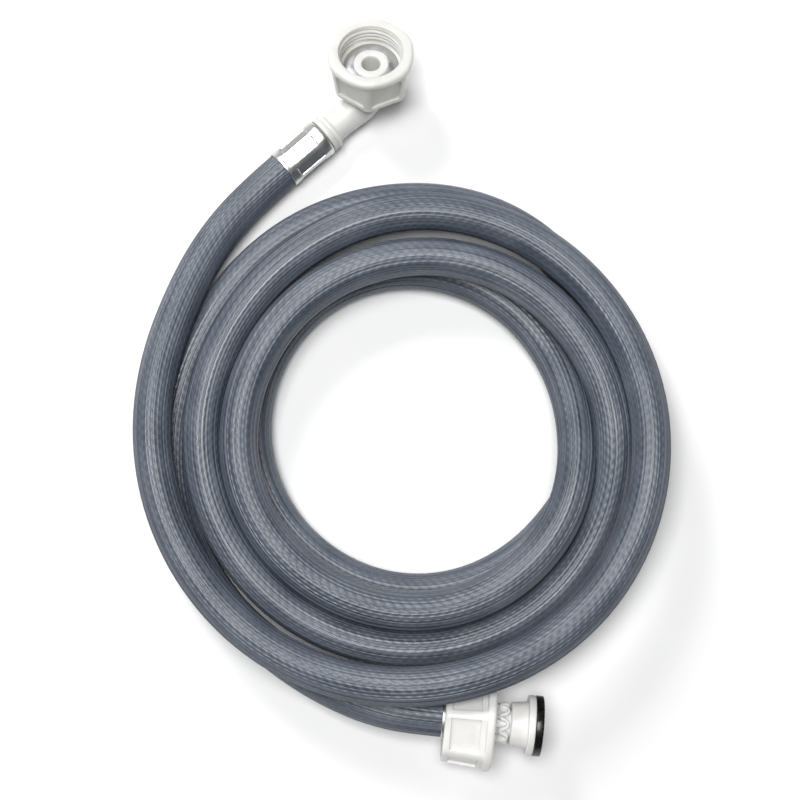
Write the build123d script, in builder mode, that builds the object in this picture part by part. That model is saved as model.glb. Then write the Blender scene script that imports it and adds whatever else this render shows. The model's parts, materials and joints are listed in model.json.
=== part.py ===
from build123d import *

import os
from math import cos, pi, radians, sin, tan

# A washing-machine fill hose: a fibre-braided PVC hose with a swivel nut at each end, lying in a coil.
# Frame: +Z up, the floor is Z = 0, the origin is under the middle of the two end fittings,
# and +Y runs from the straight end to the elbow end. Millimetres throughout.

# hose
HOSE_R = 7.5
# the layers of the hose where a ferrule squeezes them onto a barbed tail
LINER_R = (5.0, 6.0)
BRAID_R = (6.0, 6.4)
COVER_R = (6.4, 7.3)

# aluminium ferrule
FERRULE_R = 8.0
ELBOW_FERRULE_LENGTH = 20.5
STRAIGHT_FERRULE_LENGTH = 18.0
FERRULE_PANELS = 8
# a panel stops short of both ends of its ferrule
PANEL_MARGIN, PANEL_WIDTH, PANEL_DEPTH = 3.75, 4.2, 0.35

# swivel nut for a G3/4 thread, back at 0 and mouth at NUT_LENGTH along its axis
NUT_LENGTH = 19.0
NUT_MOUTH_R = 17.3
NUT_RING_LENGTH = 3.0
NUT_BACK_CORNER_R = 15.6
NUT_CORNER_FILLET = 5.0
NUT_PANEL_WIDTH, NUT_PANEL_END_GAP, NUT_PANEL_DEPTH = 12.0, 2.5, 0.7
NUT_THREAD_R = 12.06
NUT_LEAD_IN = 0.8
NUT_RELIEF_R = 13.2
NUT_RELIEF_END = 12.2
NUT_SHOULDER = (6.7, 9.7)
NUT_SKIRT_R = 11.0
ELBOW_NUT_HOLE_R = 7.9
STRAIGHT_NUT_HOLE_R = 9.9
# how far each nut has been turned about its own axis, in degrees
ELBOW_NUT_TURN = -5.0
STRAIGHT_NUT_TURN = 13.0

# elbow end: ferrule mouth, the direction of the spigot, and the lean of the nut
ELBOW_MOUTH = Vector(-49.0, 90.5, 8.0)
SPIGOT_TURN = 41.46
SPIGOT_LENGTH = 47.2
NUT_LEAN = 20.0
NUT_ABOVE_BEND = 7.9
BEND_RADIUS = 10.0
# the double collar behind the ferrule with its groove, then the neck, which widens towards the bend
COLLAR_R = 7.8
ELBOW_COLLAR = (21.0, 24.6)
GROOVE, GROOVE_R = (22.6, 23.3), 7.3
NECK_SPAN = (25.0, 31.0)
ELBOW_NECK_R = (6.15, 6.9)
BEND_LEAD = 9.0
BORE_R = 3.65
STEM_R = 7.5
STEM_START = 1.0
NOZZLE_R = 7.0
NOZZLE_TOP = 11.8
RING_R = 11.0
RING_SPAN = (9.9, 11.1)

# straight end: ferrule mouth and heading
STRAIGHT_MOUTH = Vector(14.4, -127.0, 17.4)
STRAIGHT_TURN = -5.36
TAIL_BORE_R = 4.4
NECK_R = 5.2
FIN_R = 7.6
FINS = 8
TAIL_COLLAR_END = 19.5
TAIL_BARREL_START = 25.6
TAIL_BARREL_R = (8.1, 8.8)
FLANGE_R = 11.3
FLANGE_SPAN = (31.9, 34.6)
GASKET_R = (5.0, 11.4)
GASKET_THICK = 3.0
NUT_BACK_AT = 0.3
# the loose nut lies to the outer side of the tail's axis, and centres itself as it slides to the flange
NUT_OFF_AXIS = 1.7

# coil: an eccentric ring, higher on the side where the outer turn climbs over the straight nut
COIL_CENTRE = (-2.8, -18.8)
COIL_R = 103.8
COIL_HOLE_CENTRE = (4.2, -17.3)
COIL_HOLE_R = 54.8
COIL_HEIGHT = 36.4
COIL_TILT = 3.2
COIL_TILT_TOWARDS = 310.0
COIL_EDGE_R = 6.5
NUT_POCKET_R = 18.2

# free hose between the elbow ferrule and the coil, then between the coil and the straight ferrule
ELBOW_LEAD = [
    (-49.0, 90.5, 8.0),
    (-63.6, 77.6, 8.0),
    (-78.0, 58.6, 11.0),
    (-88.4, 36.0, 15.6),
    (-95.0, 11.0, 19.6),
]
STRAIGHT_LEAD = [
    (-56.4, -100.0, 8.0),
    (-44.0, -109.2, 9.2),
    (-30.6, -116.6, 12.4),
    (-16.4, -121.9, 16.3),
    (-1.6, -125.5, 17.4),
    (14.4, -127.0, 17.4),
]

spigot_way = Vector(cos(radians(SPIGOT_TURN)), sin(radians(SPIGOT_TURN)), 0)
bend_point = ELBOW_MOUTH + spigot_way * SPIGOT_LENGTH
nut_way = Vector(0, sin(radians(NUT_LEAN)), cos(radians(NUT_LEAN)))
elbow_nut_back = bend_point + nut_way * NUT_ABOVE_BEND
straight_way = Vector(cos(radians(STRAIGHT_TURN)), sin(radians(STRAIGHT_TURN)), 0)
outward = straight_way.cross(Vector(0, 0, 1))
straight_nut_back = STRAIGHT_MOUTH + straight_way * NUT_BACK_AT + outward * NUT_OFF_AXIS

os.makedirs("parts", exist_ok=True)


def save(builder, name):
    builder.part.label = name
    export_step(builder.part, f"parts/{name}.step")


def turned(origin, way, outline):
    """A body of revolution: outline is (distance along the way, radius) points, closed by its last one."""
    side = Vector(0, 0, 1).cross(way).normalized() if abs(way.Z) < 0.9 else Vector(1, 0, 0)
    with BuildPart() as body:
        with BuildSketch(Plane(origin=origin, x_dir=way, z_dir=way.cross(side))):
            with BuildLine():
                Polyline(outline, close=True)
            make_face()
        revolve(axis=Axis(origin, way))
    return body.part


def sleeve(origin, way, start, end, radii):
    inner, outer = radii
    return turned(origin, way, [(start, inner), (end, inner), (end, outer), (start, outer)])


def barbed_tail(bore_r, root_r, barb_r, start, end, barbs):
    """The outline of a hose tail: a bore and a row of saw-tooth barbs that end at the collar."""
    pitch = (end - start - 2) / barbs
    points = [(end, bore_r), (start, bore_r), (start, root_r)]
    for i in range(barbs):
        at = start + pitch * i
        points += [(at + pitch * 0.75, barb_r), (at + pitch * 0.78, root_r)]
    return points + [(end, root_r)]


def swivel_nut(origin, way, turn, hole_r):
    """Six-sided tapering nut with a framed panel on each side and a round mouth ring."""
    side = Vector(1, 0, 0) if abs(way.Z) > 0.9 else Vector(0, 0, 1)
    base = Plane(origin=origin, x_dir=side.rotate(Axis((0, 0, 0), way), turn), z_dir=way)
    ring_start = NUT_LENGTH - NUT_RING_LENGTH
    corner_mouth_r = NUT_MOUTH_R - 0.1
    flat_back = NUT_BACK_CORNER_R * cos(pi / 6)
    flat_mouth = corner_mouth_r * cos(pi / 6)
    slope = Vector(flat_mouth - flat_back, 0, ring_start).normalized()
    with BuildPart() as nut:
        with BuildSketch(base):
            RegularPolygon(NUT_BACK_CORNER_R, 6, rotation=30)
            fillet(vertices(), NUT_CORNER_FILLET)
        with BuildSketch(base.offset(ring_start)):
            RegularPolygon(corner_mouth_r, 6, rotation=30)
            fillet(vertices(), NUT_CORNER_FILLET)
        loft()
        # the panels, sunk into the middle of each side
        for i in range(6):
            face = Plane(
                origin=base.from_local_coords(
                    Vector((flat_back + flat_mouth) / 2, 0, ring_start / 2).rotate(Axis.Z, 60 * i)
                ),
                x_dir=(base.from_local_coords(slope.rotate(Axis.Z, 60 * i)) - origin),
                z_dir=(
                    base.from_local_coords(Vector(slope.Z, 0, -slope.X).rotate(Axis.Z, 60 * i)) - origin
                ),
            )
            with BuildSketch(face.offset(-NUT_PANEL_DEPTH)):
                RectangleRounded(ring_start - 2 * NUT_PANEL_END_GAP, NUT_PANEL_WIDTH, 1.2)
            extrude(amount=3, mode=Mode.SUBTRACT)
        with BuildSketch(base.offset(ring_start)):
            Circle(NUT_MOUTH_R)
        extrude(amount=NUT_RING_LENGTH)
        with BuildSketch(base):
            Circle(NUT_SKIRT_R)
        extrude(amount=NUT_SHOULDER[0], mode=Mode.SUBTRACT)
        with BuildSketch(base):
            Circle(hole_r)
        extrude(amount=NUT_LENGTH, mode=Mode.SUBTRACT)
        with BuildSketch(base.offset(NUT_SHOULDER[1])):
            Circle(NUT_RELIEF_R)
        extrude(amount=NUT_RELIEF_END - NUT_SHOULDER[1], mode=Mode.SUBTRACT)
        with BuildSketch(base.offset(NUT_RELIEF_END)):
            Circle(NUT_THREAD_R)
        extrude(amount=NUT_LENGTH, mode=Mode.SUBTRACT)
        mouth = nut.faces().filter_by(GeomType.PLANE).sort_by(Axis(origin, way))[-1]
        chamfer(mouth.inner_wires().edges(), NUT_LEAD_IN)
        fillet(mouth.outer_wire().edges(), 0.6)
    return nut.part


def crimped_ferrule(origin, way, length):
    """A thin sleeve with long pressed panels around it."""
    base = Plane(origin=origin, x_dir=(0, 0, 1), z_dir=way)
    with BuildPart() as ferrule:
        with BuildSketch(base):
            Circle(FERRULE_R)
            Circle(COVER_R[1], mode=Mode.SUBTRACT)
        extrude(amount=length)
        for i in range(FERRULE_PANELS):
            out = Vector(1, 0, 0).rotate(Axis.Z, 360 * i / FERRULE_PANELS)
            across = Vector(0, 1, 0).rotate(Axis.Z, 360 * i / FERRULE_PANELS)
            panel = Plane(
                origin=base.from_local_coords(out * (FERRULE_R - PANEL_DEPTH) + Vector(0, 0, length / 2)),
                x_dir=base.from_local_coords(across) - origin,
                z_dir=base.from_local_coords(out) - origin,
            )
            with BuildSketch(panel):
                RectangleRounded(PANEL_WIDTH, length - 2 * PANEL_MARGIN, 0.8)
            extrude(amount=1, mode=Mode.SUBTRACT)
    return ferrule.part


def hose_tube(route):
    """A tube along straight runs joined by the largest tangent arcs that fit."""
    points = [Vector(*p) for p in route]
    radii = []
    for a, b, c in zip(points, points[1:], points[2:]):
        turn = (b - a).get_angle(c - b)
        radii.append(0.45 * min((b - a).length, (c - b).length) / tan(radians(turn) / 2))
    print("arc radii, mm:", [round(r) for r in radii])
    with BuildPart() as tube:
        with BuildLine() as path:
            FilletPolyline(*points, radius=radii)
        with BuildSketch(Plane(origin=points[0], z_dir=points[1] - points[0])):
            Circle(HOSE_R)
        sweep()
    length = sum(edge.length for edge in path.edges())
    print("tube length", round(length, 1), "volume over section x length",
          round(tube.part.volume / (pi * HOSE_R**2 * length), 4))
    return tube.part


# ---- hose between the fittings -------------------------------------------------------------------

with BuildPart() as hose_lead_elbow:
    add(hose_tube(ELBOW_LEAD))
save(hose_lead_elbow, "hose_lead_elbow")

with BuildPart() as hose_lead_straight:
    add(hose_tube(STRAIGHT_LEAD))
save(hose_lead_straight, "hose_lead_straight")

with BuildPart() as hose_coil:
    with BuildSketch():
        with Locations(COIL_CENTRE):
            Circle(COIL_R)
    extrude(amount=COIL_HEIGHT + 20)
    tilt_way = Vector(cos(radians(COIL_TILT_TOWARDS)), sin(radians(COIL_TILT_TOWARDS)), 0)
    top = Plane(
        origin=(*COIL_CENTRE, COIL_HEIGHT),
        z_dir=Vector(0, 0, cos(radians(COIL_TILT))) - tilt_way * sin(radians(COIL_TILT)),
    )
    split(bisect_by=top, keep=Keep.BOTTOM)
    with BuildSketch():
        with Locations(COIL_HOLE_CENTRE):
            Circle(COIL_HOLE_R)
    extrude(amount=COIL_HEIGHT + 20, mode=Mode.SUBTRACT)
    fillet(hose_coil.edges().filter_by(GeomType.LINE, reverse=True), COIL_EDGE_R)
    # room for the straight nut and its travel
    with BuildSketch(Plane(origin=STRAIGHT_MOUTH - straight_way, z_dir=straight_way)):
        Circle(NUT_POCKET_R)
    extrude(amount=60, mode=Mode.SUBTRACT)
save(hose_coil, "hose_coil")

# ---- elbow end -----------------------------------------------------------------------------------

with BuildPart() as elbow_ferrule:
    add(crimped_ferrule(ELBOW_MOUTH, spigot_way, ELBOW_FERRULE_LENGTH))
save(elbow_ferrule, "elbow_ferrule")

with BuildPart() as elbow_end_liner:
    add(sleeve(ELBOW_MOUTH, spigot_way, 0, ELBOW_FERRULE_LENGTH, LINER_R))
save(elbow_end_liner, "elbow_end_liner")

with BuildPart() as elbow_end_braid:
    add(sleeve(ELBOW_MOUTH, spigot_way, 0, ELBOW_FERRULE_LENGTH, BRAID_R))
save(elbow_end_braid, "elbow_end_braid")

with BuildPart() as elbow_end_cover:
    add(sleeve(ELBOW_MOUTH, spigot_way, 0, ELBOW_FERRULE_LENGTH, COVER_R))
save(elbow_end_cover, "elbow_end_cover")

with BuildPart() as elbow_body:
    # hose tail, double collar and neck, turned about the spigot axis
    neck_end = SPIGOT_LENGTH - BEND_LEAD
    tail = barbed_tail(BORE_R, LINER_R[0], LINER_R[0] + 0.4, 1.5, ELBOW_FERRULE_LENGTH + 0.4, 4)
    tail[0] = (neck_end, BORE_R)
    collar = [
        (ELBOW_COLLAR[0], COLLAR_R),
        (GROOVE[0], COLLAR_R),
        (GROOVE[0] + 0.1, GROOVE_R),
        (GROOVE[1] - 0.1, GROOVE_R),
        (GROOVE[1], COLLAR_R),
        (ELBOW_COLLAR[1], COLLAR_R),
    ]
    neck = [(NECK_SPAN[0], ELBOW_NECK_R[0]), (NECK_SPAN[1], ELBOW_NECK_R[0]), (neck_end, ELBOW_NECK_R[1])]
    add(turned(ELBOW_MOUTH, spigot_way, tail + collar + neck))
    # bend and stem
    start = ELBOW_MOUTH + spigot_way * neck_end
    stem_top = elbow_nut_back + nut_way * RING_SPAN[0]
    with BuildLine() as bend:
        FilletPolyline(start, bend_point, stem_top, radius=BEND_RADIUS)
    with BuildSketch(Plane(origin=start, z_dir=spigot_way)):
        Circle(ELBOW_NECK_R[1])
    sweep(path=bend.edges())
    with BuildSketch(Plane(origin=elbow_nut_back + nut_way * STEM_START, z_dir=nut_way)):
        Circle(STEM_R)
    extrude(amount=RING_SPAN[0] - STEM_START)
    with BuildSketch(Plane(origin=stem_top, z_dir=nut_way)):
        Circle(NOZZLE_R)
    extrude(amount=NOZZLE_TOP - RING_SPAN[0])
    # waterway through the bend
    with BuildLine() as water:
        FilletPolyline(start - spigot_way, bend_point, stem_top + nut_way * 5, radius=BEND_RADIUS)
    with BuildSketch(Plane(origin=start - spigot_way, z_dir=spigot_way)):
        Circle(BORE_R)
    sweep(path=water.edges(), mode=Mode.SUBTRACT)
save(elbow_body, "elbow_body")

with BuildPart() as elbow_retaining_ring:
    add(sleeve(elbow_nut_back, nut_way, *RING_SPAN, (NOZZLE_R, RING_R)))
save(elbow_retaining_ring, "elbow_retaining_ring")

with BuildPart() as elbow_nut:
    add(swivel_nut(elbow_nut_back, nut_way, ELBOW_NUT_TURN, ELBOW_NUT_HOLE_R))
save(elbow_nut, "elbow_nut")

# ---- straight end --------------------------------------------------------------------------------

with BuildPart() as straight_ferrule:
    add(crimped_ferrule(STRAIGHT_MOUTH, straight_way, STRAIGHT_FERRULE_LENGTH))
save(straight_ferrule, "straight_ferrule")

with BuildPart() as straight_end_liner:
    add(sleeve(STRAIGHT_MOUTH, straight_way, 0, STRAIGHT_FERRULE_LENGTH, LINER_R))
save(straight_end_liner, "straight_end_liner")

with BuildPart() as straight_end_braid:
    add(sleeve(STRAIGHT_MOUTH, straight_way, 0, STRAIGHT_FERRULE_LENGTH, BRAID_R))
save(straight_end_braid, "straight_end_braid")

with BuildPart() as straight_end_cover:
    add(sleeve(STRAIGHT_MOUTH, straight_way, 0, STRAIGHT_FERRULE_LENGTH, COVER_R))
save(straight_end_cover, "straight_end_cover")

with BuildPart() as straight_tail:
    collar_start = STRAIGHT_FERRULE_LENGTH + 0.3
    tail = barbed_tail(TAIL_BORE_R, LINER_R[0], LINER_R[0] + 0.4, 1.5, collar_start, 4)
    tail[0] = (FLANGE_SPAN[1], TAIL_BORE_R)
    collar = [(collar_start, COLLAR_R), (TAIL_COLLAR_END, COLLAR_R), (TAIL_COLLAR_END, NECK_R)]
    barrel = [(TAIL_BARREL_START, NECK_R), (TAIL_BARREL_START, TAIL_BARREL_R[0])]
    flange = [(FLANGE_SPAN[0], TAIL_BARREL_R[1]), (FLANGE_SPAN[0], FLANGE_R), (FLANGE_SPAN[1], FLANGE_R)]
    add(turned(STRAIGHT_MOUTH, straight_way, tail + collar + barrel + flange))
    # fins along the neck
    fins_start = STRAIGHT_MOUTH + straight_way * (TAIL_COLLAR_END - 0.1)
    with BuildSketch(Plane(origin=fins_start, x_dir=(0, 0, 1), z_dir=straight_way)):
        with PolarLocations((NECK_R + FIN_R) / 2 - 0.2, FINS):
            Rectangle(FIN_R - NECK_R + 0.4, 1.4)
    extrude(amount=TAIL_BARREL_START - TAIL_COLLAR_END - 0.6)
save(straight_tail, "straight_tail")

with BuildPart() as straight_gasket:
    front = FLANGE_SPAN[1]
    add(sleeve(STRAIGHT_MOUTH, straight_way, front, front + GASKET_THICK, GASKET_R))
save(straight_gasket, "straight_gasket")

with BuildPart() as straight_nut:
    add(swivel_nut(straight_nut_back, straight_way, STRAIGHT_NUT_TURN, STRAIGHT_NUT_HOLE_R))
save(straight_nut, "straight_nut")
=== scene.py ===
"""A coiled appliance fill hose with a swivel nut at each end. Metres, in the frame of the CAD part."""
import json
import random
from math import ceil, cos, hypot, pi, radians, sin, sqrt, tan

import bmesh
import bpy
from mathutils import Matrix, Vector


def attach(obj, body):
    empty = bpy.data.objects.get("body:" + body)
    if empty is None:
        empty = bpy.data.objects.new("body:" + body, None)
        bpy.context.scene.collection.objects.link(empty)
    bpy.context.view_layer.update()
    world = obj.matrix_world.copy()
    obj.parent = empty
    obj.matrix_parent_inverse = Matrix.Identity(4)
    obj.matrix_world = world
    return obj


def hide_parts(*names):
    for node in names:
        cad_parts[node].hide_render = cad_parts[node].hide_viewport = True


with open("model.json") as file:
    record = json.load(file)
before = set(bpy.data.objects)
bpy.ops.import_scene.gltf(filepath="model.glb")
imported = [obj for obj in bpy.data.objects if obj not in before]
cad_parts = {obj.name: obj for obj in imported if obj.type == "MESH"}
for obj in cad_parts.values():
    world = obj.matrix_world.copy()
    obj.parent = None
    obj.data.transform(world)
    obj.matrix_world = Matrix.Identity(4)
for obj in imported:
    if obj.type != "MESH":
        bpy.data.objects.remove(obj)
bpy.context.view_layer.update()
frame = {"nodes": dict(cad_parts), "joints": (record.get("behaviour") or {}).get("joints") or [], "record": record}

MM = 0.001
UP = Vector((0, 0, 1))
RIGHT = Vector((1, 0, 0))

# camera: over the middle of the whole object, leaning back a little from straight down
LOOK_AT = Vector((-2.1, -2.9, 0)) * MM
CAMERA_DISTANCE = 600 * MM
CAMERA_LEAN = radians(7)
CAMERA_LENS, CAMERA_SENSOR = 66.88, 36.0

# lights: place in metres, width in metres, power in watts
OVERHEAD_LIGHT = ((-0.12, 0.02, 1.3), 0.6, 17)
KEY_LIGHT = ((-0.45, 0.75, 0.8), 0.3, 6)
LIGHTS_AIM = Vector((0, -0.02, 0.01))
SURROUND_COLOUR, SURROUND_STRENGTH = (0.96, 0.98, 1.0, 1), 0.10

# floor, in metres: flat out to FLOOR_FLAT_R, then rising as the square of the distance past it
FLOOR_HALF, FLOOR_CELLS = 1.6, 24
FLOOR_SINK = 0.2 * MM
FLOOR_FLAT_R, FLOOR_SWEEP = 1.2, 0.25

# meshes: a corner that turns less than STRAIGHT_ENOUGH is not rounded, and an edge past CREASE stays sharp
ROUND_SEGMENTS = 96
LOOP_SEGMENTS = 240
CORNER_R, CORNER_STEPS = 0.25, 3
STRAIGHT_ENOUGH = radians(4)
CREASE = radians(38)
NOISE_DETAIL = 3.0

# hose: ribs along it, each with its own share of RIB_DEPTH, and a fibre braid inside
HOSE_D = 15 * MM
HOSE_RIBS = 36
RIB_VERTS = 4
RIB_DEPTH = 0.21 * MM
RIB_DEPTH_SHARES = (0.55, 1.5)
RIB_SEED = 7
BRAID_STEP = 3.8 * MM
BRAID_ENDS = 24
RING_STEP = 4 * MM
# noises of the hose's colour: scales along and around it, then the share of each and of the braid
STREAK_SCALES, BROAD_SCALES, CLOUD_SCALES = (9, 1700), (5, 420), (60, 90)
STREAK_SHARE, BROAD_SHARE, CLOUD_SHARE, BRAID_SHARE = 0.55, 0.25, 0.2, 0.012
# what stands out of its surface: the height of all of it, and the shares of the streaks and the braid
HOSE_RELIEF, STREAK_RELIEF, BRAID_RELIEF = 0.2 * MM, 0.9, 0.32

# coil: its middle in millimetres, and the degrees from one control point to the next
COIL_CENTRE = (4.2, -17.3)
TURN_STEP = 15
# a quadratic spline cuts inside its control points by this share of the radius
SPLINE_CUT = 0.0086

# route in millimetres: the elbow lead from the hose's mouth inwards, the turns as
# (degrees round the coil, radius, height), and the straight lead out to its mouth
ELBOW_LEAD = [(-49.0, 90.5, 8.0), (-63.6, 77.6, 8.0), (-78.0, 58.6, 11.0)]
TURNS = [
    (150, 105.8, 16.4), (165, 103.4, 20.2), (180, 102.4, 22.2), (210, 101.2, 22.6), (240, 99.9, 26.0),
    (270, 97.2, 34.0), (285, 95.9, 34.5), (315, 93.8, 32.4), (360, 89.5, 29.8), (390, 88.1, 24.5),
    (405, 87.8, 22.8), (450, 86.8, 22.6), (480, 84.2, 20.0), (510, 83.2, 18.2), (540, 84.1, 16.6),
    (570, 84.6, 13.0), (630, 84.0, 12.0), (660, 82.7, 12.8), (690, 79.9, 15.2), (720, 76.3, 22.6),
    (765, 71.8, 22.7), (840, 67.4, 22.6), (870, 67.5, 22.6), (930, 69.8, 22.6), (990, 69.5, 22.6),
    (1050, 65.6, 22.8), (1065, 63.6, 22.4), (1080, 62.2, 18.2), (1095, 62.0, 13.0), (1110, 62.6, 9.0),
    (1125, 63.4, 7.6), (1200, 67.0, 7.5), (1260, 64.9, 7.5), (1320, 62.5, 7.5), (1380, 63.2, 7.5),
    (1410, 65.2, 7.5), (1425, 68.2, 7.5), (1440, 73.0, 7.5), (1455, 78.8, 7.5), (1470, 84.4, 7.5),
    (1485, 89.2, 7.5), (1500, 92.6, 7.5), (1515, 94.4, 7.5), (1560, 94.6, 7.5), (1590, 93.8, 7.5),
    (1620, 96.3, 7.5), (1650, 100.0, 7.6), (1665, 101.0, 8.4), (1680, 101.2, 9.9),
]
STRAIGHT_LEAD = [
    (-36.0, -112.5, 12.2), (-24.4, -118.4, 14.3), (-12.2, -122.9, 16.6),
    (0.5, -125.7, 17.4), (14.4, -127.0, 17.4),
]

# fittings, in millimetres along each one's own axis from the hose mouth, or from the back of the nut;
# a turn is in degrees about that axis. SPIGOT_LENGTH runs to the corner of the elbow's axis, and
# NUT_ABOVE_BEND from the end of its bend to the back of its nut
ELBOW_FERRULE_LENGTH, ELBOW_FERRULE_TURN = 20.5, 8
TAIL_FERRULE_LENGTH, TAIL_FERRULE_TURN = 18.0, 0
ELBOW_NUT_TURN, ELBOW_NUT_HOLE_R = -5, 7.9
STRAIGHT_NUT_TURN, STRAIGHT_NUT_HOLE_R = 13, 9.9
ELBOW_BORE_R, TAIL_BORE_R = 3.65, 4.4
BARB_ROOT_R, BARB_TOP_R, BARB_COUNT = 5.0, 5.4, 4
SPIGOT_LENGTH = 47.2
BEND_RADIUS = 10.0
NUT_ABOVE_BEND = 7.9
NUT_LENGTH = 19.0
NUT_RING_START = 15.9
THREAD_PITCH = 1.814
THREAD_MINOR_R, THREAD_MAJOR_R = 12.06, 13.15
THREAD_MIDDLE = 15.2

spigot_mouth = Vector(ELBOW_LEAD[0])
spigot_way = (spigot_mouth - Vector(ELBOW_LEAD[1])).normalized()
tail_mouth = Vector(STRAIGHT_LEAD[-1])
tail_way = (tail_mouth - Vector(STRAIGHT_LEAD[-2])).normalized()


# ---- node materials ------------------------------------------------------------------------------

def new_material(name, roughness, metallic=0.0, **constant):
    """A Principled material with its constants set on its own sockets; returns it and its shader."""
    material = bpy.data.materials.new(name)
    material.use_nodes = True
    shader = material.node_tree.nodes["Principled BSDF"]
    shader.inputs["Roughness"].default_value = roughness
    shader.inputs["Metallic"].default_value = metallic
    for socket, value in constant.items():
        shader.inputs[socket.replace("_", " ")].default_value = value
    return material, shader


def put(tree, kind, settings=None, **inputs):
    """A node with its settings and its inputs, each a constant or a node's output. An input is given by
    its name, or by its number as i0, i1 and so on."""
    node = tree.nodes.new(kind)
    for name, value in (settings or {}).items():
        setattr(node, name, value)
    for name, value in inputs.items():
        socket = node.inputs[int(name[1:])] if name[0] == "i" and name[1:].isdigit() else node.inputs[name]
        if isinstance(value, bpy.types.NodeSocket):
            tree.links.new(value, socket)
        else:
            socket.default_value = value
    return node


def math(tree, operation, a, b=0.0):
    """One operation on one or two values."""
    return put(tree, "ShaderNodeMath", {"operation": operation}, i0=a, i1=b).outputs[0]


def lay(tree):
    """The two lengths that a made mesh carries: along its section or its line, and around it."""
    parts = put(tree, "ShaderNodeAttribute", {"attribute_name": "lay"})
    split = put(tree, "ShaderNodeSeparateXYZ", i0=parts.outputs["Vector"])
    return split.outputs["X"], split.outputs["Y"]


def stretched(tree, along, around, scale_along, scale_around):
    """A noise that is drawn out by giving it different scales along and around."""
    x = math(tree, "MULTIPLY", along, scale_along)
    y = math(tree, "MULTIPLY", around, scale_around)
    vector = put(tree, "ShaderNodeCombineXYZ", i0=x, i1=y).outputs[0]
    return put(tree, "ShaderNodeTexNoise", Vector=vector, Scale=1.0, Detail=NOISE_DETAIL).outputs["Fac"]


def object_noise(tree, scale):
    """An even noise that stays with the piece when it moves."""
    place = put(tree, "ShaderNodeTexCoord").outputs["Object"]
    return put(tree, "ShaderNodeTexNoise", Vector=place, Scale=scale, Detail=NOISE_DETAIL).outputs["Fac"]


def ramp(tree, value, stops):
    """A colour ramp; each stop is (place, colour)."""
    node = put(tree, "ShaderNodeValToRGB", Fac=value)
    elements = node.color_ramp.elements
    while len(elements) < len(stops):
        elements.new(0.5)
    for element, (place, colour) in zip(elements, stops):
        element.position = place
        element.color = (*colour, 1)
    return node.outputs["Color"]


def remap(tree, value, low, high, to_low, to_high):
    """The value carried from one range to another."""
    return put(tree, "ShaderNodeMapRange", i0=value, i1=low, i2=high, i3=to_low, i4=to_high).outputs[0]


def bump(tree, shader, height, distance):
    """Shades the surface as if the height, times the distance, stood out of it."""
    node = put(tree, "ShaderNodeBump", Strength=1.0, Distance=distance, Height=height)
    tree.links.new(node.outputs["Normal"], shader.inputs["Normal"])


def pvc_material():
    """Grey-blue ribbed PVC: fine lines along it, and the braid inside showing as rows of small bumps."""
    material, shader = new_material("hose_pvc", 0.4, Specular_IOR_Level=0.55)
    tree = material.node_tree
    along, around = lay(tree)
    streaks = stretched(tree, along, around, *STREAK_SCALES)
    broad = stretched(tree, along, around, *BROAD_SCALES)
    clouds = stretched(tree, along, around, *CLOUD_SCALES)
    rows = math(tree, "COSINE", math(tree, "MULTIPLY", along, 2 * pi / BRAID_STEP))
    columns = math(tree, "COSINE", math(tree, "MULTIPLY", around, BRAID_ENDS / HOSE_D))
    crossings = math(tree, "MULTIPLY", rows, columns)
    tone = math(tree, "MULTIPLY", streaks, STREAK_SHARE)
    for value, share in ((broad, BROAD_SHARE), (clouds, CLOUD_SHARE), (crossings, BRAID_SHARE)):
        tone = math(tree, "ADD", tone, math(tree, "MULTIPLY", value, share))
    colour = ramp(tree, tone, [
        (0.32, (0.010, 0.016, 0.026)),
        (0.44, (0.056, 0.070, 0.094)),
        (0.55, (0.112, 0.128, 0.158)),
        (0.68, (0.200, 0.220, 0.256)),
    ])
    tree.links.new(colour, shader.inputs["Base Color"])
    tree.links.new(remap(tree, streaks, 0.3, 0.7, 0.50, 0.30), shader.inputs["Roughness"])
    streak_height = math(tree, "MULTIPLY", streaks, STREAK_RELIEF)
    braid_height = math(tree, "MULTIPLY", crossings, BRAID_RELIEF)
    bump(tree, shader, math(tree, "ADD", streak_height, braid_height), HOSE_RELIEF)
    return material


def plastic_material(name, colour, shade, depth):
    """Moulded plastic: slightly matt, faintly mottled, and light passes a little way (depth) into it."""
    material, shader = new_material(name, 0.35, Specular_IOR_Level=0.42, Subsurface_Weight=0.5)
    shader.inputs["Subsurface Scale"].default_value = depth
    shader.inputs["Subsurface Radius"].default_value = (1.0, 0.9, 0.7)
    tree = material.node_tree
    mottle = object_noise(tree, 140)
    fine = object_noise(tree, 1400)
    tree.links.new(ramp(tree, mottle, [(0.32, shade), (0.66, colour)]), shader.inputs["Base Color"])
    tree.links.new(remap(tree, fine, 0.3, 0.7, 0.30, 0.44), shader.inputs["Roughness"])
    height = math(tree, "ADD", mottle, math(tree, "MULTIPLY", fine, 0.35))
    bump(tree, shader, height, 0.05 * MM)
    return material


def metal_material(name, colour, shade, scale_along, scale_around, roughness):
    """Bare metal with fine tool marks drawn out one way, and duller in patches."""
    material, shader = new_material(name, roughness, 1.0)
    tree = material.node_tree
    along, around = lay(tree)
    marks = stretched(tree, along, around, scale_along, scale_around)
    dull = object_noise(tree, 260)
    tree.links.new(ramp(tree, marks, [(0.32, shade), (0.66, colour)]), shader.inputs["Base Color"])
    dulled = remap(tree, dull, 0.3, 0.7, roughness - 0.07, roughness + 0.10)
    tree.links.new(dulled, shader.inputs["Roughness"])
    bump(tree, shader, marks, 0.015 * MM)
    return material


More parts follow.
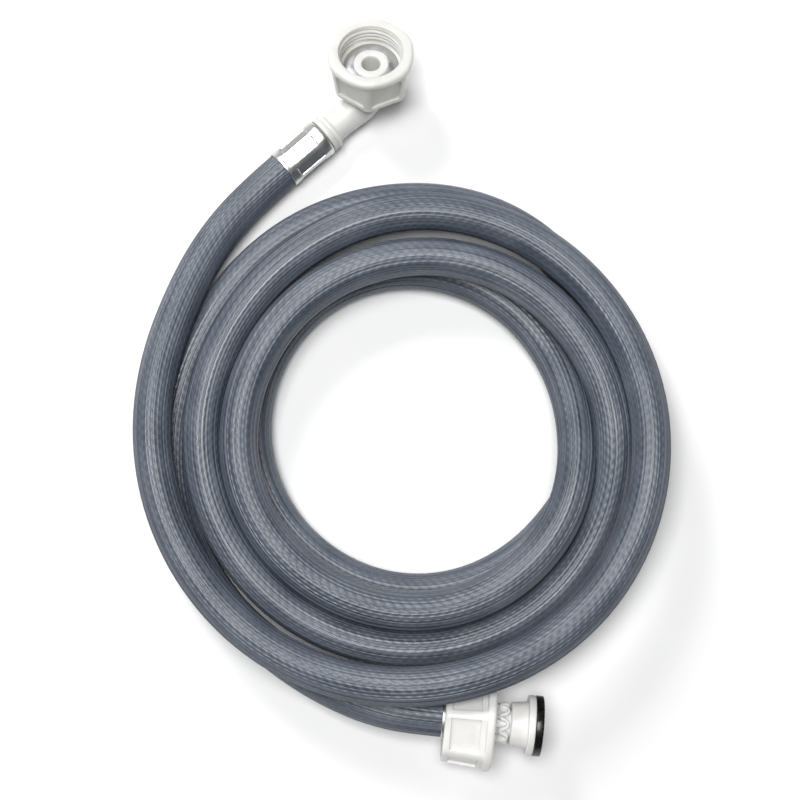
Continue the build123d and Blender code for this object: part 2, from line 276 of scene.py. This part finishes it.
def rubber_material():
    """Black rubber with a fine grain."""
    material, shader = new_material("gasket_rubber", 0.28, Specular_IOR_Level=0.4)
    tree = material.node_tree
    grain = object_noise(tree, 900)
    colour = ramp(tree, grain, [(0.35, (0.003, 0.003, 0.003)), (0.7, (0.007, 0.007, 0.008))])
    tree.links.new(colour, shader.inputs["Base Color"])
    tree.links.new(remap(tree, grain, 0.3, 0.7, 0.20, 0.34), shader.inputs["Roughness"])
    bump(tree, shader, grain, 0.04 * MM)
    return material


def layer_material(name, colour, shade, scale):
    """The hose's inner layers, which the ferrules hide."""
    material, shader = new_material(name, 0.5)
    tree = material.node_tree
    grain = object_noise(tree, scale)
    tree.links.new(ramp(tree, grain, [(0.4, shade), (0.62, colour)]), shader.inputs["Base Color"])
    bump(tree, shader, grain, 0.1 * MM)
    return material


def floor_material():
    """A pale, nearly even, matt sheet."""
    material, shader = new_material("pale_floor", 0.6, Specular_IOR_Level=0.2)
    tree = material.node_tree
    colour = ramp(tree, object_noise(tree, 30), [(0.3, (0.86, 0.86, 0.86)), (0.7, (0.88, 0.88, 0.88))])
    tree.links.new(colour, shader.inputs["Base Color"])
    return material


# ---- mesh makers ---------------------------------------------------------------------------------

def rounded(outline):
    """The closed outline with each corner rounded; a corner may carry its own radius as a third number."""
    points = []
    count = len(outline)
    for i in range(count):
        before, corner, after = (Vector(outline[(i + k) % count][:2]) for k in (-1, 0, 1))
        radius = outline[i][2] if len(outline[i]) > 2 else CORNER_R
        a, b = before - corner, after - corner
        turn = pi - a.angle(b)
        if turn < STRAIGHT_ENOUGH:
            points.append(corner)
            continue
        reach = min(radius * tan(turn / 2), 0.45 * a.length, 0.45 * b.length)
        radius = reach / tan(turn / 2)
        centre = corner + (a.normalized() + b.normalized()).normalized() * hypot(reach, radius)
        start, end = corner + a.normalized() * reach - centre, corner + b.normalized() * reach - centre
        for k in range(CORNER_STEPS + 1):
            points.append(centre + start.slerp(end, k / CORNER_STEPS) * radius)
    return points


def skin(rings, marks, closed):
    """Vertices, faces and lay values of a surface through rings of points: the last ring is joined to the
    first if closed, or else both ends are capped. marks gives the distances along and around."""
    along, around = marks
    count = len(rings[0])
    verts = [tuple(p) for ring in rings for p in ring]
    faces, values = [], []
    for j in range(len(rings) if closed else len(rings) - 1):
        k = (j + 1) % len(rings)
        for i in range(count):
            n = (i + 1) % count
            faces.append((j * count + i, j * count + n, k * count + n, k * count + i))
            for u, v in ((j, i), (j, i + 1), (j + 1, i + 1), (j + 1, i)):
                values += [along[u], around[v], 0]
    if not closed:
        for j in (0, len(rings) - 1):
            verts.append(tuple(sum((Vector(p) for p in rings[j]), Vector()) / count))
            for i in range(count):
                faces.append((j * count + i, j * count + (i + 1) % count, len(verts) - 1))
                values += [along[j], around[i], 0] * 3
    return verts, faces, values


def make_piece(name, skins, material, body):
    """One piece from its closed skins: faces outwards, smooth up to CREASE, riding on its body."""
    verts, faces, values = [], [], []
    for more_verts, more_faces, more_values in skins:
        faces += [tuple(v + len(verts) for v in face) for face in more_faces]
        verts += more_verts
        values += more_values
    mesh = bpy.data.meshes.new(name)
    mesh.from_pydata(verts, [], faces)
    mesh.attributes.new("lay", "FLOAT_VECTOR", "CORNER").data.foreach_set("vector", values)
    work = bmesh.new()
    work.from_mesh(mesh)
    bmesh.ops.recalc_face_normals(work, faces=work.faces)
    for face in work.faces:
        face.smooth = True
    for edge in work.edges:
        edge.smooth = edge.calc_face_angle(pi) < CREASE
    work.to_mesh(mesh)
    work.free()
    mesh.materials.append(material)
    piece = bpy.data.objects.new(name, mesh)
    bpy.context.collection.objects.link(piece)
    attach(piece, body)
    return piece


def lengths(points):
    """Distance along the closed row of points, with the whole way round as its last."""
    total = [0.0]
    for a, b in zip(points, points[1:] + points[:1]):
        total.append(total[-1] + (Vector(b) - Vector(a)).length)
    return total


def straight_axis(origin, way, side=UP):
    """What gives, for a distance along, the place on a straight axis and its two cross directions."""
    first = (side - way * side.dot(way)).normalized()
    second = way.cross(first)
    return lambda s: (origin + way * s, first, second)


def elbow_axis(origin, way, corner, radius, way_out):
    """The same for an axis that runs to a corner, bends there with that radius and goes on."""
    turn = way.angle(way_out)
    cut = radius * tan(turn / 2)
    side = way.cross(way_out).normalized()
    inwards = side.cross(way)
    centre = origin + way * (corner - cut) + inwards * radius

    def place(s):
        bent = min(max((s - (corner - cut)) / radius, 0), turn)
        past = s - (corner - cut) - turn * radius
        heading = way * cos(bent) + inwards * sin(bent)
        out = inwards * cos(bent) - way * sin(bent)
        point = centre - out * radius
        if bent == 0:
            point = origin + way * s
        elif past > 0:
            point += way_out * past
        return point, out, heading.cross(out)

    return place


def turned(axis, outline):
    """A skin of revolution about the axis: outline is closed, of (distance along, radius) in mm."""
    rings = []
    for s, r in outline:
        origin, first, second = axis(s)
        angles = [2 * pi * i / ROUND_SEGMENTS for i in range(ROUND_SEGMENTS)]
        rings.append([(origin + (first * cos(a) + second * sin(a)) * r) * MM for a in angles])
    reach = max(r for s, r in outline) * MM
    around = [2 * pi * reach * i / ROUND_SEGMENTS for i in range(ROUND_SEGMENTS + 1)]
    return skin(rings, ([x * MM for x in lengths(outline)], around), closed=True)


# ---- camera, light and floor ---------------------------------------------------------------------

def make_camera():
    """The camera of the main view."""
    data = bpy.data.cameras.new("camera")
    data.lens, data.sensor_width = CAMERA_LENS, CAMERA_SENSOR
    camera = bpy.data.objects.new("camera", data)
    back = Vector((0, -sin(CAMERA_LEAN), cos(CAMERA_LEAN)))
    camera.location = LOOK_AT + back * CAMERA_DISTANCE
    camera.rotation_euler = (CAMERA_LEAN, 0, 0)
    bpy.context.collection.objects.link(camera)
    bpy.context.scene.camera = camera


def area_light(name, place, size, power):
    """A square light aimed at about the middle of the coil."""
    data = bpy.data.lights.new(name, "AREA")
    data.size, data.energy = size, power
    light = bpy.data.objects.new(name, data)
    light.location = place
    light.rotation_euler = (LIGHTS_AIM - Vector(place)).to_track_quat("-Z", "Y").to_euler()
    bpy.context.collection.objects.link(light)


def make_studio():
    """A wide soft light overhead, a smaller one from the upper left, and a low even surrounding light."""
    world = bpy.data.worlds.new("studio")
    bpy.context.scene.world = world
    world.use_nodes = True
    background = world.node_tree.nodes["Background"]
    background.inputs["Color"].default_value = SURROUND_COLOUR
    background.inputs["Strength"].default_value = SURROUND_STRENGTH
    area_light("overhead", *OVERHEAD_LIGHT)
    area_light("key", *KEY_LIGHT)
    bpy.context.scene.view_settings.view_transform = "Standard"


def make_floor():
    """A wide pale sheet with its far edges turned up a little, as a studio sweep."""
    work = bmesh.new()
    bmesh.ops.create_grid(work, x_segments=FLOOR_CELLS, y_segments=FLOOR_CELLS, size=FLOOR_HALF)
    for vert in work.verts:
        vert.co.z = -FLOOR_SINK + FLOOR_SWEEP * max(0, vert.co.xy.length - FLOOR_FLAT_R) ** 2
    mesh = bpy.data.meshes.new("floor")
    work.to_mesh(mesh)
    work.free()
    mesh.materials.append(floor_material())
    floor = bpy.data.objects.new("floor", mesh)
    bpy.context.collection.objects.link(floor)


# ---- hose ----------------------------------------------------------------------------------------

def eased(keys, at, column):
    """The column's value at a place in the keys, smooth through them and never past two neighbours."""
    x, y = [k[0] for k in keys], [k[column] for k in keys]
    rise = [(b - a) / (d - c) for a, b, c, d in zip(y, y[1:], x, x[1:])]
    between = [2 * p * q / (p + q) if p * q > 0 else 0.0 for p, q in zip(rise, rise[1:])]
    slope = [rise[0]] + between + [rise[-1]]
    i = max(j for j in range(len(x) - 1) if x[j] <= at)
    gap = x[i + 1] - x[i]
    t = (at - x[i]) / gap
    start = (y[i] * (1 + 2 * t) + slope[i] * gap * t) * (1 - t) ** 2
    end = (y[i + 1] * (3 - 2 * t) - slope[i + 1] * gap * (1 - t)) * t ** 2
    return start + end


def route_points():
    """The leads as they are listed, and between them the turns, one point each TURN_STEP degrees."""
    points = list(ELBOW_LEAD)
    for angle in range(TURNS[0][0], TURNS[-1][0] + 1, TURN_STEP):
        radius = eased(TURNS, angle, 1) * (1 + SPLINE_CUT)
        x = COIL_CENTRE[0] + radius * cos(radians(angle))
        y = COIL_CENTRE[1] + radius * sin(radians(angle))
        points.append((x, y, eased(TURNS, angle, 2)))
    return [Vector(p) * MM for p in points + STRAIGHT_LEAD]


def spline_line(points):
    """Points read from one NURBS spline that has these control points."""
    data = bpy.data.curves.new("route", "CURVE")
    data.dimensions = "3D"
    data.resolution_u = 24
    spline = data.splines.new("NURBS")
    spline.points.add(len(points) - 1)
    for point, place in zip(spline.points, points):
        point.co = (*place, 1)
    spline.order_u = 3
    spline.use_endpoint_u = True
    guide = bpy.data.objects.new("route", data)
    bpy.context.collection.objects.link(guide)
    depsgraph = bpy.context.evaluated_depsgraph_get()
    mesh = bpy.data.meshes.new_from_object(guide.evaluated_get(depsgraph))
    line = [v.co.copy() for v in mesh.vertices]
    bpy.data.objects.remove(guide)
    bpy.data.meshes.remove(mesh)
    return line


def evenly(line, step):
    """The line at even distances of about step, its two ends included, and its length."""
    total = sum((b - a).length for a, b in zip(line, line[1:]))
    count = round(total / step)
    places, gone, wanted = [line[0]], 0.0, total / count
    for a, b in zip(line, line[1:]):
        part = (b - a).length
        while part > 0 and gone + part >= wanted * len(places) and len(places) < count:
            places.append(a.lerp(b, (wanted * len(places) - gone) / part))
        gone += part
    return places + [line[-1]], total


def make_hose():
    """The free hose, its ribs in the mesh; each rib has its own depth, as an extruded hose has."""
    line, length = evenly(spline_line(route_points()), RING_STEP)
    draw = random.Random(RIB_SEED)
    depth = [RIB_DEPTH * draw.uniform(*RIB_DEPTH_SHARES) for _ in range(HOSE_RIBS)]
    count = HOSE_RIBS * RIB_VERTS
    profile = []
    for i in range(count):
        rib, part = divmod(i, RIB_VERTS)
        height = (1 + cos(2 * pi * part / RIB_VERTS)) / 2
        profile.append(HOSE_D / 2 - depth[rib] * (1 - height))
    side = UP.cross(line[1] - line[0]).normalized()
    rings = []
    for i, place in enumerate(line):
        way = (line[min(i + 1, len(line) - 1)] - line[max(i - 1, 0)]).normalized()
        side = (side - way * side.dot(way)).normalized()
        up = way.cross(side)
        ring = []
        for k, radius in enumerate(profile):
            angle = 2 * pi * k / count
            ring.append(place + (side * cos(angle) + up * sin(angle)) * radius)
        rings.append(ring)
    marks = (
        [length * i / (len(line) - 1) for i in range(len(line))],
        [pi * HOSE_D * k / count for k in range(count + 1)],
    )
    hose = make_piece("hose", [skin(rings, marks, closed=False)], pvc_material(), "hose")
    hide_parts("hose_lead_elbow", "hose_coil", "hose_lead_straight")


# ---- swivel nuts ---------------------------------------------------------------------------------

MOUTH_R, MOUTH_ROUNDING, MOUTH_DIP = 17.3, 1.5, 0.45
BACK_ROUNDING = 0.7
CORNER_FILLET = 3.6
# a side's distance from the axis at the back of the nut and where the mouth ring starts
APOTHEM = (13.8, 15.1)
# angles across one side, from its middle, in degrees: closest together at the panel's edge
HALF_SIDE = [29, 27.4, 26.0, 25.0, 24.2, 23.8, 23.4, 23.0, 22.6, 20, 16, 11, 5.5]
FACE_STATIONS = [-a for a in HALF_SIDE] + [0] + HALF_SIDE[::-1]
# the sunk panel: the angle of its edge from the middle of the side, and over how many degrees it sinks
PANEL_EDGE, PANEL_SLOPE = 23.4, 0.8
PANEL_DEPTH = 1.0
# heights down a side, from the mouth ring to the back, each with its share of the panel's depth
SIDE_HEIGHTS = [
    (15.5, 0), (14.2, 0), (13.75, 0), (13.65, 0.1), (13.45, 0.9),
    (13.3, 1.0), (10.8, 1.0), (8, 1.0), (5.2, 1.0), (2.8, 1.0),
    (2.65, 0.9), (2.45, 0.1), (2.35, 0), (1.9, 0), (0.9, 0),
]
THREAD_START, THREAD_END, THREAD_RINGS = 12.0, 18.3, 44
# the thread fades out over THREAD_FADE before it reaches this depth from the mouth
THREAD_FADE, THREAD_FADE_DEPTH = 1.2, 0.9
THREAD_ROOT_GAP = 0.1
# the radius at which the way round a nut is measured for its material
NUT_LAY_R = 14


def hex_radius(apothem, fillet, from_middle):
    """A rounded hexagon's radius at an angle from the middle of a side, in degrees."""
    centre = (apothem - fillet) / cos(pi / 6)
    away = abs(radians(from_middle))
    if apothem * tan(away) <= centre / 2:
        return apothem / cos(away)
    from_corner = pi / 6 - away
    return centre * cos(from_corner) + sqrt(fillet ** 2 - (centre * sin(from_corner)) ** 2)


def mouth_radius(r, from_middle):
    """The mouth ring: nearly round, a little nearer to the axis in the middle of each side."""
    return r - MOUTH_DIP * (1 + cos(radians(6 * from_middle))) / 2


def thread_radius(along, turn):
    """The inside of the nut where it is threaded; turn is the share of a whole turn."""
    phase = (along / THREAD_PITCH - turn) % 1.0
    wave = min(max(abs(phase - 0.5) * 4 - 0.45, 0.0), 1.0)
    wave = wave * wave * (3 - 2 * wave)
    fade = min(max((NUT_LENGTH - THREAD_FADE_DEPTH - along) / THREAD_FADE, 0.0), 1.0)
    height = THREAD_MAJOR_R - THREAD_MINOR_R - THREAD_ROOT_GAP
    return THREAD_MAJOR_R - THREAD_ROOT_GAP - height * (1 - wave) * fade


def nut_section(hole_r):
    """The nut's section, once round it in rings: mouth, sides, back, inside and thread. Each ring is its
    height, its radius as a function of (angle from a side's middle, turn), and its share of PANEL_DEPTH."""
    def circle(z, r):
        return z, lambda a, turn: r, 0

    def mouth(z, r):
        return z, lambda a, turn: mouth_radius(r, a), 0

    def side(z, sunk=0.0, shrink=0.0):
        apothem = APOTHEM[0] + (APOTHEM[1] - APOTHEM[0]) * z / NUT_RING_START - shrink
        return z, lambda a, turn: hex_radius(apothem, CORNER_FILLET, a), sunk

    rings = [circle(18.93, 12.95), circle(19.0, 13.3)]
    for k in range(7):
        bend = pi / 2 * k / 6
        height = NUT_LENGTH - MOUTH_ROUNDING * (1 - cos(bend))
        rings.append(mouth(height, MOUTH_R - MOUTH_ROUNDING + MOUTH_ROUNDING * sin(bend)))
    rings += [mouth(16.6, MOUTH_R), mouth(16.25, MOUTH_R - 0.03), mouth(16.0, MOUTH_R - 0.25)]
    rings += [side(z, sunk) for z, sunk in SIDE_HEIGHTS]
    for k in range(1, 5):
        bend = pi / 2 * k / 4
        rings.append(side(BACK_ROUNDING * (1 - sin(bend)), 0, BACK_ROUNDING * (1 - cos(bend))))
    recess = [(0.0, 11.6), (0.12, 11.15), (0.5, 11.0), (6.3, 11.0), (6.6, 10.8), (6.7, 10.4)]
    hole = [(6.7, hole_r + 0.4), (6.82, hole_r + 0.1), (7.1, hole_r)]
    hole += [(9.3, hole_r), (9.58, hole_r + 0.1), (9.7, hole_r + 0.4)]
    seat = [(9.7, 12.8), (9.85, 13.1), (10.2, 13.2), (11.7, 13.2)]
    rings += [circle(z, r) for z, r in recess + hole + seat]
    for k in range(THREAD_RINGS + 1):
        z = THREAD_START + (THREAD_END - THREAD_START) * k / THREAD_RINGS
        rings.append((z, lambda a, turn, z=z: thread_radius(z, turn), 0))
    rings += [circle(18.6, 12.7)]
    return rings


def make_nut(node, origin, way, side, spin, hole_r, material):
    """A six-sided swivel nut: sunk panels, a rolled mouth ring and a G3/4 thread."""
    first = (side - way * side.dot(way)).normalized()
    second = way.cross(first)
    rings = []
    stations = [60 * face + a for face in range(6) for a in FACE_STATIONS]
    for z, radius, sunk in nut_section(hole_r):
        ring = []
        for angle in stations:
            middle = 60 * round(angle / 60)
            from_middle = angle - middle
            r = radius(from_middle, angle / 360)
            turned_by = radians(angle + spin)
            point = first * cos(turned_by) + second * sin(turned_by)
            point = origin + way * z + point * r
            edge = min(max((PANEL_EDGE + PANEL_SLOPE / 2 - abs(from_middle)) / PANEL_SLOPE, 0.0), 1.0)
            if sunk and edge:
                facing = radians(middle + spin)
                point -= (first * cos(facing) + second * sin(facing)) * PANEL_DEPTH * sunk * edge
            ring.append(point * MM)
        rings.append(ring)
    outline = [(z, radius(0, 0)) for z, radius, sunk in nut_section(hole_r)]
    around = [radians(a) * NUT_LAY_R * MM for a in stations + [stations[0] + 360]]
    surface = skin(rings, ([x * MM for x in lengths(outline)], around), closed=True)
    nut = make_piece(node + "_shell", [surface], material, node)
    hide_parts(node)


# ---- ferrules ------------------------------------------------------------------------------------

# angles across half of one of the eight sides, in degrees, closest together at the panel's edge
FERRULE_HALF_SIDE = [-21.6, -19.8, -18.0, -16.4, -15.6, -14.8, -14.0, -9, -4]
FERRULE_STATIONS = FERRULE_HALF_SIDE + [0] + [-a for a in reversed(FERRULE_HALF_SIDE)]
FERRULE_APOTHEM, FERRULE_LIP_R, FERRULE_BORE_R = 7.75, 8.0, 7.3
# how far a worn corner stands out past the sides
FERRULE_CORNER = 0.24
FERRULE_PANEL_EDGE, FERRULE_PANEL_SLOPE, FERRULE_PANEL_DEPTH = 16.4, 1.6, 0.33
# the radius at which the way round a ferrule is measured for its material
FERRULE_LAY_R = 8


def octagon(apothem, from_middle):
    """An octagon's radius at an angle from the middle of a side, its corners cut off by a circle."""
    return min(apothem / cos(radians(from_middle)), apothem + FERRULE_CORNER)


def make_ferrule(node, axis, length, turn, material):
    """An eight-sided crimped sleeve with a long pressed panel on each side and a flared mouth. Its section
    is of (distance along, radius, share of the panel's depth): facets are eight-sided, the rest round."""
    stations = [45 * side + a for side in range(8) for a in FERRULE_STATIONS]
    flare = [(-0.5, 7.75), (-0.35, 7.92), (0.1, FERRULE_LIP_R), (0.6, 7.95), (1.2, 7.85)]
    shoulder = [(length - 2.4, 7.9), (length - 1.0, FERRULE_LIP_R)]
    shoulder += [(length - 0.4, 7.9), (length - 0.05, 7.6)]
    inside = [(length, 7.35), (length - 0.3, FERRULE_BORE_R), (8, FERRULE_BORE_R), (1.6, FERRULE_BORE_R)]
    inside += [(0.6, 7.55), (-0.3, 7.72)]
    facets = [(1.9, 7.78, 0)]
    facets += [(s, FERRULE_APOTHEM, 0) for s in (2.7, 3.1)]
    facets += [(s, FERRULE_APOTHEM, 1) for s in (3.5, 4.2, 9.5, length - 5.5, length - 4.7)]
    facets += [(s, FERRULE_APOTHEM, 0) for s in (length - 4.3, length - 3.7)]
    section = [(s, r, 0) for s, r in flare] + facets + [(s, r, 0) for s, r in shoulder + inside]
    rings = []
    for s, r, sunk in section:
        origin, first, second = axis(s)
        ring = []
        for angle in stations:
            middle = 45 * round(angle / 45)
            from_middle = angle - middle
            a = radians(angle + turn)
            radius = octagon(r, from_middle) if (s, r, sunk) in facets else r
            point = origin + (first * cos(a) + second * sin(a)) * radius
            edge = min(max((FERRULE_PANEL_EDGE - abs(from_middle)) / FERRULE_PANEL_SLOPE, 0.0), 1.0)
            if sunk and edge:
                facing = radians(middle + turn)
                point -= (first * cos(facing) + second * sin(facing)) * FERRULE_PANEL_DEPTH * edge
            ring.append(point * MM)
        rings.append(ring)
    along = [x * MM for x in lengths([(s, r) for s, r, sunk in section])]
    around = [radians(a) * FERRULE_LAY_R * MM for a in stations + [stations[0] + 360]]
    surface = skin(rings, (along, around), closed=True)
    ferrule = make_piece(node + "_sleeve", [surface], material, "hose")
    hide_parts(node)


# ---- elbow, ring, tail and gasket ----------------------------------------------------------------

def barbs(start, end):
    """A row of saw-tooth barbs along a hose tail."""
    pitch = (end - start) / BARB_COUNT
    points = []
    for i in range(BARB_COUNT):
        at = start + pitch * i
        points += [(at, BARB_ROOT_R, 0.1), (at + pitch * 0.75, BARB_TOP_R, 0.1)]
        points += [(at + pitch * 0.8, BARB_ROOT_R, 0.1)]
    return points


def steps(start, end, r):
    """Points at one radius, a millimetre apart or less, to follow a bend."""
    count = ceil(abs(end - start))
    return [(start + (end - start) * i / count, r) for i in range(1, count)]


def make_elbow(axis, stem_start, material):
    """The moulded elbow: barbed tail, grooved collar, neck, bend, stem and nozzle."""
    bend_start, bend_end = SPIGOT_LENGTH - BEND_RADIUS, stem_start + 0.4
    stem_top, nozzle_top = stem_start + 9.9, stem_start + 11.8
    # barbed tail, from its end
    outline = [(1.5, ELBOW_BORE_R, 0.4), (1.5, 4.8, 0.3)] + barbs(2.0, 18.4) + [(20.9, BARB_ROOT_R)]
    # collar, with a groove round it
    outline += [(20.9, 7.75, 0.5), (22.5, 7.8, 0.3), (22.62, 7.3)]
    outline += [(23.2, 7.3), (23.32, 7.8, 0.3), (24.7, 7.75, 0.7)]
    # neck and bend
    outline += [(25.6, 6.25, 1.0), (31.0, 6.2, 8), (38.0, 6.8, 8)]
    outline += steps(39.5, bend_end, 6.95)
    # stem, nozzle, and back down the bore
    outline += [(bend_end, 7.0), (stem_start + 1.2, 7.5), (stem_top, 7.5, 0.2), (stem_top, 7.05, 0.1)]
    outline += [(nozzle_top, 7.0, 0.55), (nozzle_top, ELBOW_BORE_R + 0.2, 0.45)]
    outline += [(nozzle_top - 1.2, ELBOW_BORE_R)] + steps(bend_end, bend_start, ELBOW_BORE_R)
    elbow = make_piece("elbow_moulding", [turned(axis, rounded(outline))], material, "hose")
    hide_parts("elbow_body")


def make_ring(axis, material):
    """The turned steel ring that keeps the nut on the elbow, its face coned a little."""
    outline = [(9.92, 7.06, 0.15), (9.92, 10.98, 0.3), (10.6, 10.98, 0.3), (11.25, 7.06, 0.15)]
    ring = make_piece("retaining_ring_steel", [turned(axis, rounded(outline))], material, "hose")
    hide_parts("elbow_retaining_ring")


def looped_wall(axis, radii, height, thickness):
    """A thin wall round the neck that follows height(angle) along the axis, its top rounded."""
    low, high = radii
    origin, first, second = axis(0)
    way = (axis(1)[0] - origin).normalized()
    half = thickness / 2
    section = [(-half, low), (-half, high - half)]
    section += [(-half * cos(pi * k / 6), high - half + half * sin(pi * k / 6)) for k in range(1, 6)]
    section += [(half, high - half), (half, low)]
    rings = []
    for i in range(LOOP_SEGMENTS):
        angle = 2 * pi * i / LOOP_SEGMENTS
        rise = (height(angle + 0.01) - height(angle - 0.01)) / 0.02 / high
        lean = Vector((1, rise)).normalized()
        out = first * cos(angle) + second * sin(angle)
        round_way = second * cos(angle) - first * sin(angle)
        across = way * lean.x - round_way * lean.y
        middle = origin + way * height(angle)
        rings.append([(middle + out * r + across * x) * MM for x, r in section])
    along = [2 * pi * high * MM * i / LOOP_SEGMENTS for i in range(LOOP_SEGMENTS + 1)]
    around = [x * MM for x in lengths(section)]
    return skin(rings, (along, around), closed=True)


def box_fin(axis, angle, span, radii, thickness):
    """A straight fin along the neck with rounded long edges."""
    rings = []
    half, soft = thickness / 2, thickness / 4
    low, high = radii
    outline = [(-half, low), (-half, high - soft)]
    outline += [(-half + soft * 0.3, high - soft * 0.3), (-half + soft, high)]
    outline += [(-x, r) for x, r in reversed(outline)]
    for s in span:
        origin, first, second = axis(s)
        out = first * cos(angle) + second * sin(angle)
        across = second * cos(angle) - first * sin(angle)
        rings.append([(origin + out * r + across * x) * MM for x, r in outline])
    around = [x * MM for x in lengths(outline)]
    return skin(rings, ([s * MM for s in span], around), closed=False)


# the looped wall round the neck: how many loops, where its middle lies, and how far it swings
TAIL_LOOPS, LOOP_MIDDLE, LOOP_SWING = 8, 23.1, 1.6
LOOP_RADII, LOOP_THICKNESS = (4.9, 7.75), 1.25
FIN_SPAN, FIN_RADII, FIN_THICKNESS = (19.45, 20.2, 21.0), (4.9, 7.5), 1.4


def make_tail(axis, material):
    """The straight tail: barbs, collar, waisted neck with a looped wall and fins, barrel and flange."""
    # barbed tail, from its end
    outline = [(1.5, TAIL_BORE_R, 0.3), (1.5, 4.9, 0.2)] + barbs(2.0, 16.4) + [(18.3, BARB_ROOT_R)]
    # collar and neck
    outline += [(18.3, 7.8, 0.4), (19.5, 7.8, 0.4), (19.6, 5.2, 0.5), (25.6, 5.2, 0.2)]
    # barrel and flange
    outline += [(25.6, 8.1, 0.5), (29.0, 8.45, 4), (31.4, 8.8, 1.0), (31.9, 9.0, 0.3)]
    outline += [(31.9, 11.25, 0.35), (34.6, 11.25, 0.3), (34.6, TAIL_BORE_R, 0.5)]
    skins = [turned(axis, rounded(outline))]

    def height(angle):
        return LOOP_MIDDLE + LOOP_SWING * (cos(TAIL_LOOPS * angle) - 0.25 * cos(2 * TAIL_LOOPS * angle))

    skins.append(looped_wall(axis, LOOP_RADII, height, LOOP_THICKNESS))
    for i in range(TAIL_LOOPS):
        cusp = (2 * i + 1) * pi / TAIL_LOOPS
        skins.append(box_fin(axis, cusp, FIN_SPAN, FIN_RADII, FIN_THICKNESS))
    tail = make_piece("tail_moulding", skins, material, "hose")
    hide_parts("straight_tail")


def make_gasket(axis, material):
    """The rubber washer, with a shallow groove round its face."""
    back, front, groove = 34.62, 37.6, 37.35
    hole_r, rim_r = 5.0, 11.4
    outline = [(back, hole_r, 0.3), (back, rim_r, 0.35), (front, rim_r, 0.4), (front, 9.9, 0.2)]
    outline += [(groove, 9.5, 0.2), (groove, 8.4, 0.2), (front, 8.0, 0.2), (front, hole_r, 0.4)]
    gasket = make_piece("gasket_rubber", [turned(axis, rounded(outline))], material, "hose")
    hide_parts("straight_gasket")


def dress_layers():
    """The three hose layers in each ferrule stay as they are, with their own materials."""
    looks = {
        "liner": layer_material("hose_liner", (0.30, 0.31, 0.33), (0.24, 0.25, 0.27), 300),
        "braid": layer_material("hose_braid", (0.80, 0.80, 0.78), (0.45, 0.45, 0.44), 1100),
        "cover": layer_material("hose_cover", (0.19, 0.21, 0.25), (0.13, 0.15, 0.18), 400),
    }
    for end in ("elbow", "straight"):
        for layer, material in looks.items():
            data = frame["nodes"][f"{end}_end_{layer}"].data
            data.materials.clear()
            data.materials.append(material)


# ---- run -----------------------------------------------------------------------------------------

make_camera()
make_hose()
make_studio()
make_floor()

elbow_spin = next(j for j in frame["joints"] if j["name"] == "elbow_nut_spin")
straight_thread = next(m for m in frame["record"]["mounts"] if m["name"] == "straight_thread")
nut_way = Vector(elbow_spin["axis"])
elbow_nut_back = Vector(elbow_spin["pos_m"]) / MM
straight_nut_back = Vector(straight_thread["pos_m"]) / MM - tail_way * THREAD_MIDDLE
elbow_line = elbow_axis(spigot_mouth, spigot_way, SPIGOT_LENGTH, BEND_RADIUS, nut_way)
tail_line = straight_axis(tail_mouth, tail_way)
nut_line = straight_axis(elbow_nut_back, nut_way, RIGHT)

# distance along the elbow's bent axis at which its nut starts
bend_angle = spigot_way.angle(nut_way)
bend_cut = BEND_RADIUS * tan(bend_angle / 2)
stem_start = SPIGOT_LENGTH - 2 * bend_cut + BEND_RADIUS * bend_angle + NUT_ABOVE_BEND

elbow_plastic = plastic_material("elbow_plastic", (0.72, 0.715, 0.685), (0.65, 0.65, 0.62), 0.006)
tail_plastic = plastic_material("tail_plastic", (0.81, 0.80, 0.78), (0.76, 0.75, 0.725), 0.002)
aluminium = metal_material("crimped_aluminium", (0.72, 0.72, 0.70), (0.58, 0.58, 0.565), 300, 4500, 0.34)
steel = metal_material("turned_steel", (0.74, 0.74, 0.76), (0.64, 0.64, 0.66), 3500, 40, 0.38)

make_elbow(elbow_line, stem_start, elbow_plastic)
make_ring(nut_line, steel)
make_nut("elbow_nut", elbow_nut_back, nut_way, RIGHT, ELBOW_NUT_TURN, ELBOW_NUT_HOLE_R, elbow_plastic)
spigot_line = straight_axis(spigot_mouth, spigot_way)
make_ferrule("elbow_ferrule", spigot_line, ELBOW_FERRULE_LENGTH, ELBOW_FERRULE_TURN, aluminium)
make_tail(tail_line, tail_plastic)
make_gasket(tail_line, rubber_material())
make_nut("straight_nut", straight_nut_back, tail_way, UP, STRAIGHT_NUT_TURN, STRAIGHT_NUT_HOLE_R,
         tail_plastic)
make_ferrule("straight_ferrule", tail_line, TAIL_FERRULE_LENGTH, TAIL_FERRULE_TURN, aluminium)
dress_layers()
